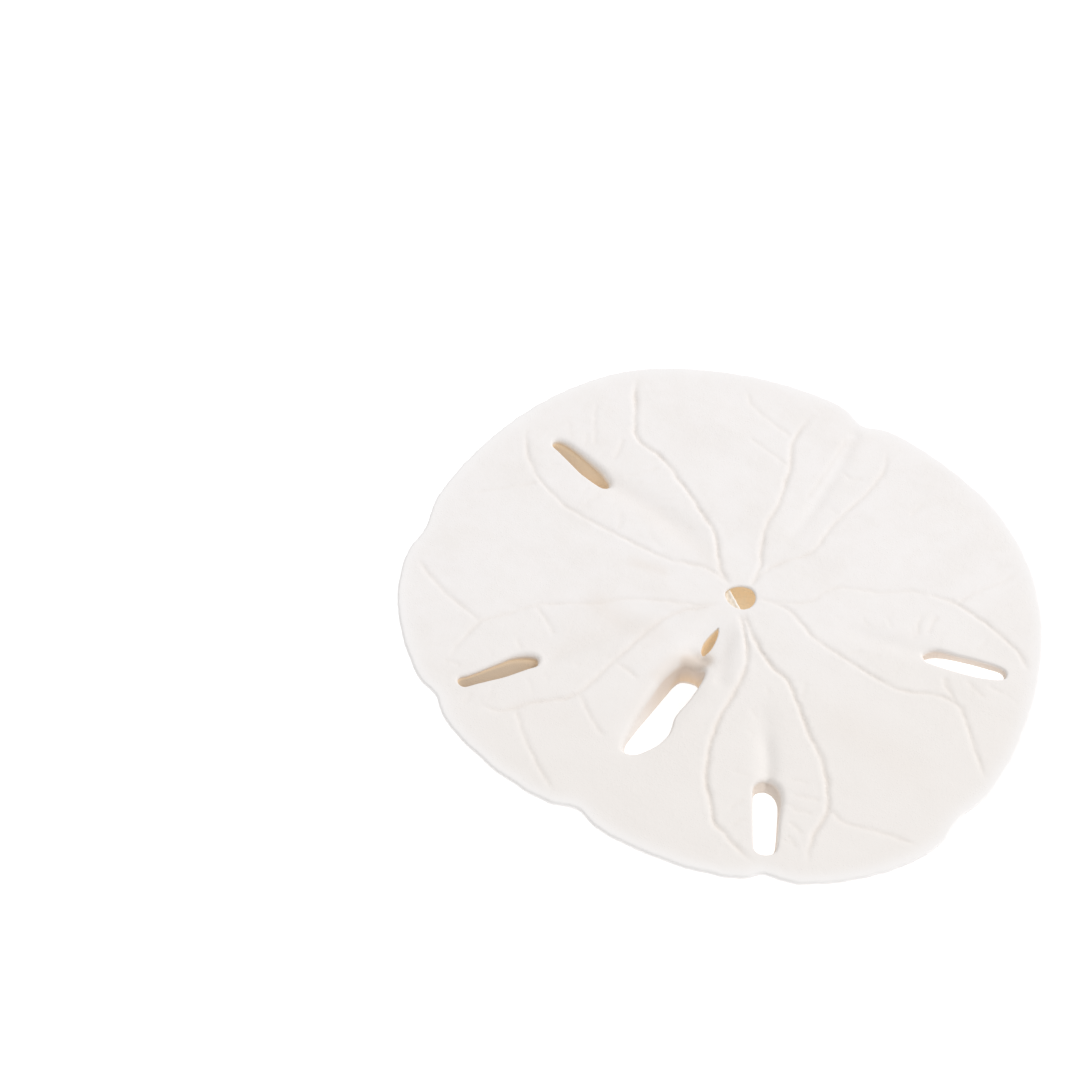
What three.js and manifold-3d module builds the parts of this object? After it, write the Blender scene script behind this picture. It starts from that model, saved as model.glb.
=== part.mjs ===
// Keyhole sand dollar: the bleached test (skeleton), lying on its domed aboral side with the oral side up.
// Millimetres, +Z up. +Y is the front of the animal, and the anal lunule lies towards -Y.
// Every place on the test is measured from the middle of its mouth, as [x, y].
import * as THREE from 'three';
import { mergeVertices } from 'three/addons/utils/BufferGeometryUtils.js';
import Module from 'manifold-3d';

// Heights and thicknesses
const RIM_HEIGHT = 11.2; // oral face at the margin, above the surface that the dome rests on
const BOWL = 0.8; // how far the oral face sinks at the mouth
const MIDDLE_RADIUS = 50; // nominal radius of the test
const EDGE_THICKNESS = 1.9;
const DOME = 8.85; // extra thickness under the mouth
const DOME_REACH = 24;
const DOME_POWER = 2.1;
const RIM_ROUND = 1.5; // how far in the rounding of the margin starts

// Margin, clockwise from the front as seen from above, without its dents
const MARGIN = [
  [0, 45.2], [14, 44], [27, 39.6], [38, 30.3], [45.6, 17.2], [49.8, 2], [50.4, -12], [47.8, -25.5],
  [41, -36], [31, -43.7], [17.5, -49.4], [2, -51], [-14, -50.6], [-27, -46.4], [-38.5, -38.6],
  [-46.5, -27.6], [-50, -13], [-50, 2], [-46.8, 16.5], [-39.5, 29.8], [-28, 38.8], [-14, 44.1],
];
const MARGIN_STEPS = 100;
// Dents in the margin: where, how deep, and how far they spread to each side
const DENTS = [
  { at: [-1, 45], depth: 1.8, spread: 3 },
  { at: [48.6, -18], depth: 1.2, spread: 4 },
  { at: [29, -44], depth: 1.5, spread: 2.6 },
  { at: [-0.8, -51], depth: 1.7, spread: 3.2 },
  { at: [-29.6, -44], depth: 1.5, spread: 2.6 },
  { at: [-48.6, -17.5], depth: 1.2, spread: 4 },
];

// Paired lunules: inner and outer end of each slot's middle line, and the half width at the oral face.
// A slot flares over its bevel, and is narrower still at the aboral face.
const LUNULES = [
  { inner: [31, 8], outer: [40.6, 10.7] },
  { inner: [21.7, -30.6], outer: [26.3, -39.6] },
  { inner: [-21.3, -31], outer: [-27.3, -38.9] },
  { inner: [-30.9, 8.1], outer: [-40.1, 10.1] },
];
const LUNULE_HALF = 1.8;
const LUNULE_WALLS = { bevel: 1.1, flare: 0.3, taper: 0.5 };

// Anal lunule: one long slot behind the periproct
const ANAL = { front: [0.3, -17], back: [1.1, -34], frontHalf: 3, backHalf: 2.4 };
const ANAL_WALLS = { bevel: 2.6, flare: 0.4, taper: 0.9 };

const MOUTH_RADIUS = 2.4;
const MOUTH_SIDES = 14;
const POCKET_RADIUS = 4.6;
const POCKET_DEPTH = 6;
// A ledge left inside the mouth: its straight edge, and its depth below the oral face
const JAW_LEDGE = { from: [-4.8, 2.1], to: [3.9, -3.1], top: 1.1, bottom: 2.3 };
const PERIPROCT = { front: [0.1, -9.2], back: [0.5, -12.3], half: 0.85, depth: 4.5 };

// Food grooves: two trunks to each ray with their side branches, out from the mouth to the margin
const FOOD_GROOVES = [
  // Front ray
  [[0, 4], [-1.9, 10.1], [-3.9, 15.2], [-4.7, 21.5], [-6.5, 28.1], [-8.8, 33.4], [-9.1, 40]],
  [[-6.5, 28.4], [-11, 29.2], [-15.4, 29.9]],
  [[-9.3, 34], [-14, 35], [-20.4, 38.4]],
  [[0.3, 5.5], [2.4, 10.9], [5.1, 15.6], [5, 21.3], [6.3, 30], [6.6, 36.3], [4.7, 41.3]],
  // Right front ray
  [[3.5, 2.6], [9.6, 5.9], [12.4, 11.3], [21.7, 17], [31.7, 18.8], [39.6, 17], [44.4, 14.1]],
  [[29.2, 19.5], [31, 23.4], [34.6, 30.6]],
  [[3.6, 1.8], [9.6, 1.6], [15.3, -0.5], [24.6, -1.4], [32.4, -0.1], [38.9, 1.3], [43.1, -3], [49.3, -9.5]],
  [[34.2, 4.9], [36, 2.9], [38.9, 1.3]],
  // Right back ray
  [[2.4, -3], [8.1, -7.6], [13.9, -9.9], [22.4, -17.6], [27.4, -22.3], [31.2, -28.5], [31.6, -34],
    [33.5, -39.4]],
  [[31, -28], [38.1, -27.6], [45.6, -25.9]],
  [[1.4, -3.6], [5.3, -7.6], [8, -14.4], [8.9, -23], [11.4, -30.9], [15.6, -37.3], [20.3, -41.2],
    [27.1, -43]],
  // Left back ray
  [[-3, -3.6], [-11.1, -8.4], [-18.3, -14.4], [-26.1, -20.5], [-31.5, -28.4], [-31.9, -35.1], [-31.1, -38.6]],
  [[-31.5, -28.4], [-38.3, -26.9], [-45.8, -23.7]],
  [[-26.1, -20.5], [-21.1, -23.4]],
  [[-2.6, -4], [-6.5, -8], [-9.1, -15.1], [-10.6, -24.6], [-11.5, -30.5], [-14.7, -35.1],
    [-18.6, -39.8], [-24, -42]],
  [[-10.4, -22.6], [-5.4, -23.4]],
  [[-11.5, -31.2], [-8.3, -33.7], [-4, -36.2]],
  [[-18, -39.6], [-11.9, -45.1], [-5.4, -49]],
  // Left front ray
  [[-3.4, -0.6], [-7.6, 2], [-14, -0.1], [-22.6, -0.5], [-31.1, -0.5], [-38.3, 1.6], [-44.6, 7]],
  [[-3.2, 1.4], [-7.9, 6.3], [-14.7, 12], [-23.3, 17], [-31.1, 19.5], [-34, 24.5], [-36.9, 30.2]],
];
const GROOVE = { half: 0.75, depth: 0.42, step: 4 };
const GROOVE_END = { depth: 0.3, share: 0.2 }; // depth at a line's ends, and the share of it that thins out

// Broad valleys: the funnel from the periproct into the anal lunule, and the middle line of each ray
const FUNNEL = { line: [[0, -5.5], [0.2, -11], [0.4, -17]], half: 3.4, depth: 1.5, step: 3 };
const VALLEY = { half: 2.2, depth: 0.6, step: 5 };
const VALLEY_LENGTH = 14;

// Petals on the aboral side: direction of each ray in degrees from the front, clockwise from above
const PETALS = [
  { turn: -1, length: 23 }, { turn: 75, length: 22 }, { turn: 146, length: 22 },
  { turn: -145, length: 22 }, { turn: -75.5, length: 22 },
];
const PETAL_START = 6.5;
const PETAL_HALF = 4.4;
const PETAL_LINE = { half: 0.6, depth: 0.35, step: 4.5 };

const UP = 1;
const DOWN = -1;
const wasm = await Module();
wasm.setup();

const oralHeight = (x, y) => RIM_HEIGHT - BOWL * (1 - (x * x + y * y) / MIDDLE_RADIUS ** 2);

const thickness = (x, y) =>
  EDGE_THICKNESS + DOME * Math.exp(-((Math.hypot(x, y) / DOME_REACH) ** DOME_POWER));

// The dome ends in a small flat at its lowest point, on which the test rests.
const aboralHeight = (x, y) => Math.max(0, oralHeight(x, y) - thickness(x, y));

// A closed solid through rings of equally many points, with its first and last rings closed by fans.
function loft(rings) {
  const count = rings[0].length;
  const points = rings.flat();
  const faces = [];
  for (let r = 0; r + 1 < rings.length; r++) {
    for (let i = 0; i < count; i++) {
      const a = r * count + i;
      const b = r * count + ((i + 1) % count);
      faces.push(a, b, a + count, b, b + count, a + count);
    }
  }
  for (const [ring, flip] of [[0, false], [rings.length - 1, true]]) {
    const middle = points.length;
    points.push(average(rings[ring]));
    for (let i = 0; i < count; i++) {
      const a = ring * count + i;
      const b = ring * count + ((i + 1) % count);
      faces.push(middle, flip ? a : b, flip ? b : a);
    }
  }
  const geometry = new THREE.BufferGeometry().setFromPoints(points);
  geometry.setIndex(faces);
  return solid(geometry);
}

function average(points) {
  const sum = points.reduce((total, point) => total.add(point), new THREE.Vector3());
  return sum.divideScalar(points.length);
}

// A manifold solid from a closed geometry, turned right side out if it is inside out.
function solid(geometry) {
  geometry.deleteAttribute('normal');
  geometry.deleteAttribute('uv');
  const merged = mergeVertices(geometry, 1e-4);
  const triVerts = Uint32Array.from(merged.index.array);
  const vertProperties = Float32Array.from(merged.attributes.position.array);
  if (signedVolume(vertProperties, triVerts) < 0) triVerts.reverse();
  return new wasm.Manifold(new wasm.Mesh({ numProp: 3, vertProperties, triVerts }));
}

function signedVolume(positions, triangles) {
  const corner = (i) => new THREE.Vector3().fromArray(positions, 3 * triangles[i]);
  let volume = 0;
  for (let i = 0; i < triangles.length; i += 3) {
    volume += corner(i).dot(corner(i + 1).cross(corner(i + 2))) / 6;
  }
  return volume;
}

// Points of the margin, with its dents pressed in towards the mouth
function marginPoints() {
  const curve = new THREE.CatmullRomCurve3(MARGIN.map(([x, y]) => new THREE.Vector3(x, y, 0)), true);
  const points = curve.getSpacedPoints(MARGIN_STEPS).slice(0, MARGIN_STEPS);
  return points.map((point) => {
    const dent = DENTS.reduce((sum, { at, depth, spread }) => {
      const away = Math.hypot(point.x - at[0], point.y - at[1]) / spread;
      return sum + depth * Math.exp(-away * away);
    }, 0);
    return point.clone().setLength(point.length() - dent);
  });
}

// The whole test before anything is cut: oral face, rounded margin, aboral face
function uncutTest() {
  const margin = marginPoints();
  const faceRing = (share, height) => margin.map((point) => {
    const flat = point.clone().setLength((point.length() - RIM_ROUND) * share);
    return flat.setZ(height(flat.x, flat.y));
  });
  const rimRing = (angle) => margin.map((point) => {
    const inset = RIM_ROUND * (1 - Math.cos(angle));
    const flat = point.clone().setLength(point.length() - inset);
    const top = oralHeight(flat.x, flat.y);
    const half = thickness(flat.x, flat.y) / 2;
    return flat.setZ(top - half + half * Math.sin(angle));
  });
  const oral = [0.14, 0.34, 0.56, 0.78, 0.92].map((share) => faceRing(share, oralHeight));
  const rim = [80, 48, 16, -16, -48, -80].map((angle) => rimRing(THREE.MathUtils.degToRad(angle)));
  const aboral = [0.92, 0.78, 0.66, 0.55, 0.45, 0.35, 0.25, 0.12];
  return loft([...oral, ...rim, ...aboral.map((share) => faceRing(share, aboralHeight))]);
}

// Outline of a slot with round ends of different width, at one height
function slotRing([ax, ay], [bx, by], halfA, halfB, z, arcSteps = 6) {
  const along = Math.atan2(by - ay, bx - ax);
  const arc = (x, y, half, start) => Array.from({ length: arcSteps + 1 }, (unused, i) => {
    const angle = along + start + (Math.PI * i) / arcSteps;
    return new THREE.Vector3(x + half * Math.cos(angle), y + half * Math.sin(angle), z);
  });
  return [...arc(bx, by, halfB, -Math.PI / 2), ...arc(ax, ay, halfA, Math.PI / 2)];
}

// A slot through the whole test that widens upwards, with a flare below the oral face
function throughSlot(front, back, halfFront, halfBack, { bevel, flare, taper }) {
  const top = oralHeight((front[0] + back[0]) / 2, (front[1] + back[1]) / 2);
  const levels = [[-1, -taper], [top - bevel, -flare], [top, 0], [top + bevel, flare]];
  return loft(levels.map(([z, more]) => slotRing(front, back, halfFront + more, halfBack + more, z)));
}

// A groove cut along a line on one face. It thins out at both ends, or deepens all the way to its last one.
function groove(line, { half, depth, step }, height, side, deepens = false) {
  const curve = new THREE.CatmullRomCurve3(line.map(([x, y]) => new THREE.Vector3(x, y, 0)));
  const steps = Math.max(3, Math.round(curve.getLength() / step));
  const rings = [];
  for (let i = 0; i <= steps; i++) {
    const inward = deepens ? i / steps : Math.min(i, steps - i) / steps / GROOVE_END.share;
    const share = THREE.MathUtils.lerp(GROOVE_END.depth, 1, Math.min(1, inward));
    rings.push(grooveWedge(curve.getPointAt(i / steps), curve.getTangentAt(i / steps), half * share,
      depth * share * side, height));
  }
  return loft(rings);
}

// A wedge that is `half` wide to each side where it meets the face, and as high above the face as below it
function grooveWedge(point, along, half, depth, height) {
  const across = new THREE.Vector3(-along.y, along.x, 0).multiplyScalar(2 * half);
  const surface = height(point.x, point.y);
  const left = point.clone().add(across).setZ(surface + depth);
  const right = point.clone().sub(across).setZ(surface + depth);
  return [point.clone().setZ(surface - depth), left, right];
}

function mouthPocket() {
  const top = oralHeight(0, 0);
  const profile = [
    [0, 2], [MOUTH_RADIUS + 0.9, 2], [MOUTH_RADIUS + 0.35, 0], [MOUTH_RADIUS, -0.7],
    [POCKET_RADIUS, -2.4], [POCKET_RADIUS, -4], [2.6, -POCKET_DEPTH], [0, -POCKET_DEPTH],
  ].map(([radius, z]) => new THREE.Vector2(radius, z));
  const geometry = new THREE.LatheGeometry(profile, MOUTH_SIDES).rotateX(Math.PI / 2);
  return solid(geometry.translate(0, 0, top));
}

// The ledge fills one side of the pocket, beyond a straight edge that crosses the mouth.
function jawLedge() {
  const top = oralHeight(0, 0);
  const from = new THREE.Vector3(...JAW_LEDGE.from, 0);
  const to = new THREE.Vector3(...JAW_LEDGE.to, 0);
  const outward = new THREE.Vector3(to.y - from.y, from.x - to.x, 0).setLength(POCKET_RADIUS + 1);
  const corners = [from, to, to.clone().add(outward), from.clone().add(outward)];
  const levels = [top - JAW_LEDGE.top, top - JAW_LEDGE.bottom];
  return loft(levels.map((z) => corners.map((corner) => corner.clone().setZ(z))));
}

function periproct() {
  const { front, back, half, depth } = PERIPROCT;
  const top = oralHeight(...front);
  return loft([top - depth, top + 1].map((z) => slotRing(front, back, half, half, z, 4)));
}

// The middle line of a ray, sinking towards the inner end of its lunule
function rayValley({ inner }) {
  const end = new THREE.Vector3(...inner, 0);
  const start = end.clone().setLength(end.length() - VALLEY_LENGTH);
  return groove([[start.x, start.y], inner], VALLEY, oralHeight, UP, true);
}

// Both edges of a petal, from the top of the dome out to its rounded tip
function petalLines({ turn, length }) {
  const direction = THREE.MathUtils.degToRad(90 - turn);
  return [-1, 1].map((edge) => {
    const line = Array.from({ length: 7 }, (unused, i) => {
      const share = i / 6;
      const out = PETAL_START + length * share;
      const aside = edge * PETAL_HALF * (0.12 + 0.88 * Math.sin(Math.PI * share ** 0.85) ** 0.75);
      return [
        out * Math.cos(direction) - aside * Math.sin(direction),
        out * Math.sin(direction) + aside * Math.cos(direction),
      ];
    });
    return groove(line, PETAL_LINE, aboralHeight, DOWN);
  });
}

function cutters() {
  const { front, back, frontHalf, backHalf } = ANAL;
  return [
    ...LUNULES.map(({ inner, outer }) => throughSlot(inner, outer, LUNULE_HALF, LUNULE_HALF, LUNULE_WALLS)),
    throughSlot(front, back, frontHalf, backHalf, ANAL_WALLS),
    mouthPocket().subtract(jawLedge()),
    periproct(),
    groove(FUNNEL.line, FUNNEL, oralHeight, UP, true),
    ...LUNULES.map(rayValley),
    ...FOOD_GROOVES.map((line) => groove(line, GROOVE, oralHeight, UP)),
    ...PETALS.flatMap(petalLines),
  ];
}

function meshGeometry(manifold) {
  const { vertProperties, triVerts } = manifold.getMesh();
  const geometry = new THREE.BufferGeometry();
  geometry.setAttribute('position', new THREE.BufferAttribute(vertProperties, 3));
  geometry.setIndex(new THREE.BufferAttribute(triVerts, 1));
  geometry.computeVertexNormals();
  return geometry;
}

const bleachedTest = new THREE.MeshStandardMaterial({ color: 0xf3f0ed, roughness: 0.85, metalness: 0 });

const test = cutters().reduce((whole, cutter) => whole.subtract(cutter), uncutTest());
const sandDollar = new THREE.Mesh(meshGeometry(test), bleachedTest);
sandDollar.name = 'sand_dollar';

// The origin is in the middle of the test's box, on the surface that it rests on.
sandDollar.geometry.computeBoundingBox();
const middle = sandDollar.geometry.boundingBox.getCenter(new THREE.Vector3());
sandDollar.position.set(-middle.x, -middle.y, 0);

const group = new THREE.Group();
group.add(sandDollar);

export default group;
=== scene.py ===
import math

import bmesh
import bpy
import numpy as np
from bpy.props import FloatProperty, FloatVectorProperty, IntProperty, PointerProperty
from mathutils import Matrix, Vector
from mathutils.geometry import delaunay_2d_cdt


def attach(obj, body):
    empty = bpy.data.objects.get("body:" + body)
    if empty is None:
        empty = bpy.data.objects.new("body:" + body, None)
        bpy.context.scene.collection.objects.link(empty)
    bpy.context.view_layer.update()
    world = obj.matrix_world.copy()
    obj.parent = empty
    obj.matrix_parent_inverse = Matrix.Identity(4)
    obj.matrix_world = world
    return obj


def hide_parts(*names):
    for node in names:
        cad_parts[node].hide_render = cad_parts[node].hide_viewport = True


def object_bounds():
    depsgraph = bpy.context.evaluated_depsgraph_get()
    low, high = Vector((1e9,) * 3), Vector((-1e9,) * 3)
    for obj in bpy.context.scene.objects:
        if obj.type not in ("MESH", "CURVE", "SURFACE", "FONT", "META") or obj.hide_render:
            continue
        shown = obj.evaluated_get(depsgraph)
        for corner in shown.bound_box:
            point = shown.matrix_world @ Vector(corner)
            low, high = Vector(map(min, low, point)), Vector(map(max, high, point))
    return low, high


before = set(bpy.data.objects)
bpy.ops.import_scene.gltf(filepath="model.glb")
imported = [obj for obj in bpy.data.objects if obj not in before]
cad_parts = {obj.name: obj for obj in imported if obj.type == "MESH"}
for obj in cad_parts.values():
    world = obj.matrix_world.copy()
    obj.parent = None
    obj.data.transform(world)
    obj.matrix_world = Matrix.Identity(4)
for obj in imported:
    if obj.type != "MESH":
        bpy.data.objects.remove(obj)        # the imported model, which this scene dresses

bl_info = {
    "name": "Keyhole Sand Dollar",
    "version": (1, 0, 0),
    "blender": (4, 5, 0),
    "location": "View3D > Sidebar > Sand Dollar",
    "description": "Builds the bleached test of a keyhole sand dollar, and a pale studio round it",
    "category": "Add Mesh",
}

NODE = "sand_dollar"
CAD_LOW, CAD_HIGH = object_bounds()

# Every list below is in millimetres of a test this wide, measured from the middle of its mouth.
# +X goes across the test, +Y to its front, and heights are above the surface that it rests on.
LIST_WIDTH = 100.86
MM = (CAD_HIGH.x - CAD_LOW.x) / LIST_WIDTH

# Faces of the test
RIM_HEIGHT = 11.2
BOWL = 0.35
MIDDLE_RADIUS = 50.0
EDGE_THICKNESS = 1.6
DOME = 9.3
DOME_REACH = 23.0
DOME_POWER = 2.1

# Margin, clockwise from the front as seen from above, without its dents
MARGIN = [
    (0, 45.2), (14, 44), (27, 39.6), (38, 30.3), (45.6, 17.2), (49.8, 2), (50.4, -12), (47.9, -25.6),
    (41.1, -36.2), (31.2, -44), (17.7, -49.8), (2, -51.5), (-14.1, -51.1), (-27.2, -46.9), (-38.8, -39),
    (-46.9, -27.8), (-50.4, -13), (-50.4, 2), (-47.1, 16.6), (-39.7, 29.9), (-28.1, 38.8), (-14, 44.1),
]
# Dents in the margin: place, depth, and spread to each side
DENTS = [
    ((-1, 45), 1.8, 3.0), ((48.6, -18), 1.2, 4.0), ((29, -44), 1.5, 2.6),
    ((-0.8, -51), 1.7, 3.2), ((-29.6, -44), 1.5, 2.6), ((-48.6, -17.5), 1.2, 4.0),
]

# Lunules, each starting at its inner end: the opening in the oral face, the opening in the aboral face,
# how strongly stain and painted shade colour the walls and how round the oral lip is, both at the inner and
# the outer end, how much more painted shade the walls get at their foot, how much light comes through them
# near the lip, and the direction in which the lip is softer, with by how much
LUNULES = [
    {"oral": [(29.3, 7), (29.5, 7.9), (30.5, 9.1), (32.1, 9.7), (33.8, 10.1), (36.3, 10.9), (38.9, 11.6),
        (40.9, 11.9), (42.1, 11.6), (42.5, 10.5), (41.9, 9.6), (40.1, 8.6), (38.3, 7.9), (35.9, 7.2),
        (33.5, 6.6), (31.8, 6.3), (30.4, 6.2)],
     "aboral": [(29.5, 7.2), (29.6, 8.3), (31, 9.4), (33.2, 10.2), (36, 10.9), (38.8, 11.5), (40.9, 11.85),
        (41.8, 11.5), (42, 10.8), (41.3, 9.9), (39.8, 9), (38.1, 8.2), (35.8, 7.3), (33.6, 6.7), (32, 6.4),
        (30.8, 6.4)],
     "lips": (0.8, 0.4), "wall_stain_and_shade": (0.66, 0.64), "foot": 0, "thin": 0, "softer": (0, 0)},
    {"oral": [(21, -28.1), (20.1, -28.6), (19.5, -29.8), (19.5, -31), (20.6, -33.1), (22.4, -36.3),
        (24.2, -39.5), (25.2, -40.9), (26.4, -41.2), (27.7, -40.5), (28.2, -39.2), (27.5, -37.2),
        (26.3, -34.7), (25.2, -32.1), (24.3, -30.2), (22.9, -28.6)],
     "aboral": [(21.3, -29.5), (20.6, -29.9), (20.1, -30.6), (20.1, -31.6), (21, -33.4), (22.7, -36.4),
        (24.4, -39.3), (25.3, -40.5), (26.3, -40.8), (27.3, -40.2), (27.8, -39), (27, -36.9), (25.8, -34.4),
        (24.8, -32.3), (23.9, -30.8), (22.6, -29.7)],
     "lips": (0.95, 0.4), "wall_stain_and_shade": (0.66, 0.5), "foot": 0, "thin": 0, "softer": (0.3, 0.1)},
    # Painted shade: these walls reach the shade brown, so the slit looks as dark as one in shadow
    {"oral": [(-20.2, -29), (-21, -28.8), (-22.5, -29.7), (-23.9, -31.2), (-24.9, -33.1), (-25.8, -34.8),
        (-26.7, -36.5), (-27.7, -38.2), (-28.5, -39.3), (-28.4, -40.2), (-27.6, -40.7), (-26.7, -40.5),
        (-25.5, -38.9), (-24.1, -37.1), (-22.7, -35.3), (-21.5, -33.4), (-20.6, -31.9), (-19.7, -30.4)],
     "aboral": [(-20, -30.7), (-20.5, -30.8), (-21.2, -31.8), (-21.9, -33), (-22.6, -34.3), (-23.4, -35.7),
        (-24.4, -37.1), (-25.6, -38.5), (-26.5, -39.4), (-27.2, -40), (-27.2, -40.5), (-26.6, -40.4),
        (-25.3, -39), (-23.8, -37.2), (-22.3, -35.4), (-21.2, -33.7), (-20.4, -32.2), (-19.9, -31)],
     "lips": (0.8, 0.5), "wall_stain_and_shade": (1.2, 1.75), "foot": 0.2, "thin": 0.1, "softer": (-0.2, 0.3)},
    # Painted shade: these walls turn tan and brown towards their foot, so the slit looks as dark as one in
    # shadow
    {"oral": [(-29, 7.5), (-29.3, 8.5), (-30.3, 9.1), (-32, 9.8), (-34.9, 10.5), (-36.9, 10.9), (-39, 11.2),
        (-40.3, 11.1), (-41.1, 10.6), (-41.3, 9.8), (-40.8, 9.1), (-39.5, 8.7), (-38, 8.2), (-36.2, 7.6),
        (-34.4, 7), (-32.8, 6.7), (-31, 6.5), (-29.7, 6.6)],
     "aboral": [(-30, 6.9), (-30.2, 7.4), (-31.2, 7.7), (-32.4, 7.6), (-34.7, 8), (-36.6, 8.5), (-38.5, 9),
        (-39.8, 9.4), (-40.6, 9.6), (-40.8, 9.3), (-40.3, 8.8), (-39.4, 8.4), (-37.9, 7.8), (-36.1, 7.2),
        (-34.3, 6.7), (-32.7, 6.4), (-31.1, 6.2), (-30.2, 6.3)],
     "lips": (0.95, 0.7), "wall_stain_and_shade": (0.95, 1.15), "foot": 0.2, "thin": 0.4, "softer": (0.1, 0.45)},
    {"oral": [(0.8, -14.5), (-0.6, -14.9), (-1.7, -16.1), (-2.3, -18.3), (-2.6, -20.8), (-2.5, -24),
        (-2.4, -27), (-2.2, -29.6), (-1.8, -32.2), (-1.4, -34.5), (-0.9, -36), (-0.4, -36.6), (0.5, -36.6),
        (1.7, -35.9), (2.8, -34.1), (3.6, -32.2), (3.9, -30.1), (3.7, -28.4), (3.1, -26.6), (3, -24.8),
        (3.2, -22.6), (3.2, -20.6), (3.1, -18.2), (2.8, -16.3), (2.3, -15.1), (1.6, -14.6)],
     "aboral": [(0.8, -13.8), (-0.4, -14), (-1.5, -15), (-1.8, -17), (-1.65, -19.8), (-1.5, -22.9),
        (-1.35, -26.2), (-1.3, -29), (-1.2, -31.8), (-1.1, -34), (-0.7, -35.2), (-0.2, -35.7), (0.6, -35.8),
        (1.5, -35), (2.4, -33.4), (3, -31.6), (3.2, -29.8), (3.1, -28), (2.9, -26.2), (2.9, -24.3),
        (2.8, -22.2), (2.8, -20.2), (2.6, -17.8), (2.3, -16), (1.8, -14.9), (1.4, -14.4)],
     "lips": (1.3, 0.8), "wall_stain_and_shade": (0.58, 0.14), "foot": 0.7, "thin": 0, "softer": (-0.42, 0.12)},
]
PAIRED = 4  # the last lunule in the list is the single one behind the periproct
SLOT_POINTS = (120, 130, 120, 120, 190)  # how many points go round each lunule
BACK_LIP = 0.3  # how round the lips are on the aboral side
# The hollow that leads into the single lunule: where it starts, is full, starts to fade and has faded
FUNNEL = {"depth": 1.25, "half": 2.6, "middle": 0.4, "full": (-4.5, -14.5), "faded": (-22, -40)}

MOUTH = {"outline": [(-2.8, -0.4), (-2.5, 1), (-1.4, 2.2), (0.2, 2.8), (1.6, 2.2), (2.35, 0.8), (2.25, -0.8),
                     (1.3, -1.95), (-0.3, -2.25), (-1.9, -1.6)],
         "lip": 0.4, "depth": 3.4}
POCKET_GROW = 1.9  # how much wider than the mouth the hollow behind it is
POCKET_TOP = 1.35  # how far below the oral face the hollow is that wide
JAW_EDGE = ((-2.3, 0.75), (1.55, -1.95))  # straight edge of the ledge seen inside the mouth
JAW_DEPTH = 0.85
PERIPROCT = {"outline": [(-0.15, -7.1), (0.5, -7.9), (0.9, -9.6), (1, -11.4), (0.55, -12.6), (-0.25, -12.3),
                         (-0.72, -10.9), (-0.6, -9)],
             "lip": 0.2, "depth": 3.0}

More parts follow.
